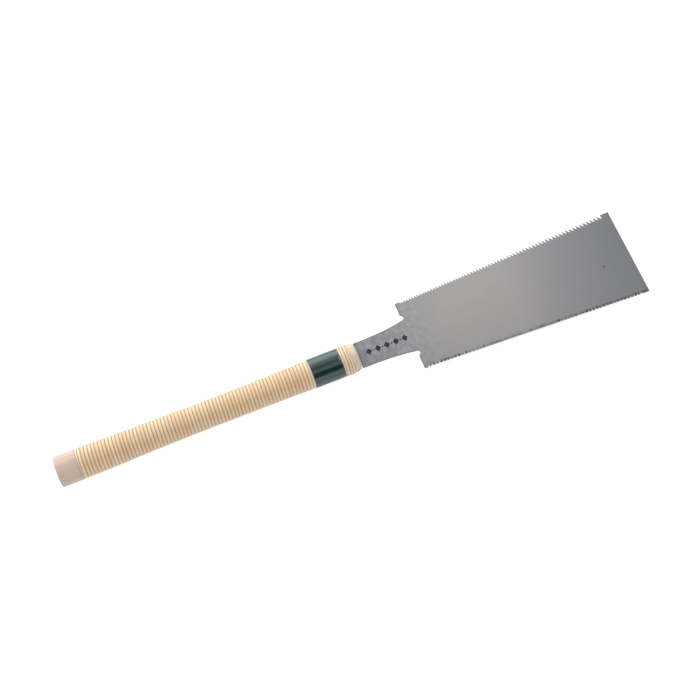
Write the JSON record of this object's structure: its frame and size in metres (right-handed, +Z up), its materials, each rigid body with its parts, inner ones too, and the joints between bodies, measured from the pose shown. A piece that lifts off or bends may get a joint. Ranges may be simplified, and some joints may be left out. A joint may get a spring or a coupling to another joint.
{
  "type": "japanese pull saw",
  "caption": "Double-edged Japanese pull saw: thin tapered steel blade with rip and crosscut teeth, sliding out of a rattan-bound oval wooden handle with a glossy band.",
  "frame": {"origin": "under the middle of the saw, on the surface that the handle lies on", "axes": "+X from the butt of the handle to the toe of the blade, +Y towards the rip teeth, +Z up, square to the blade's flat face"},
  "size_m": [0.6026, 0.0942, 0.0252],
  "materials": {
    "wood": "satin",
    "rattan": "satin",
    "band_film": "gloss",
    "sheet_steel": "satin",
    "pin_steel": "satin",
    "blade_steel": "satin"
  },
  "bodies": {
    "handle": {"handle_half_upper": "wood", "handle_half_lower": "wood", "grip_wrap": "rattan", "front_wrap": "rattan", "band_sleeve": "band_film", "blade_holder": "sheet_steel", "stop_pin": "pin_steel", "tail_rivet": "pin_steel"},
    "blade": {"blade": "blade_steel"}
  },
  "joints": [
    {"name": "blade_release", "type": "slide", "parent": "handle", "child": "blade", "axis": [1, 0, 0], "range_m": [0, 0.08]}
  ]
}
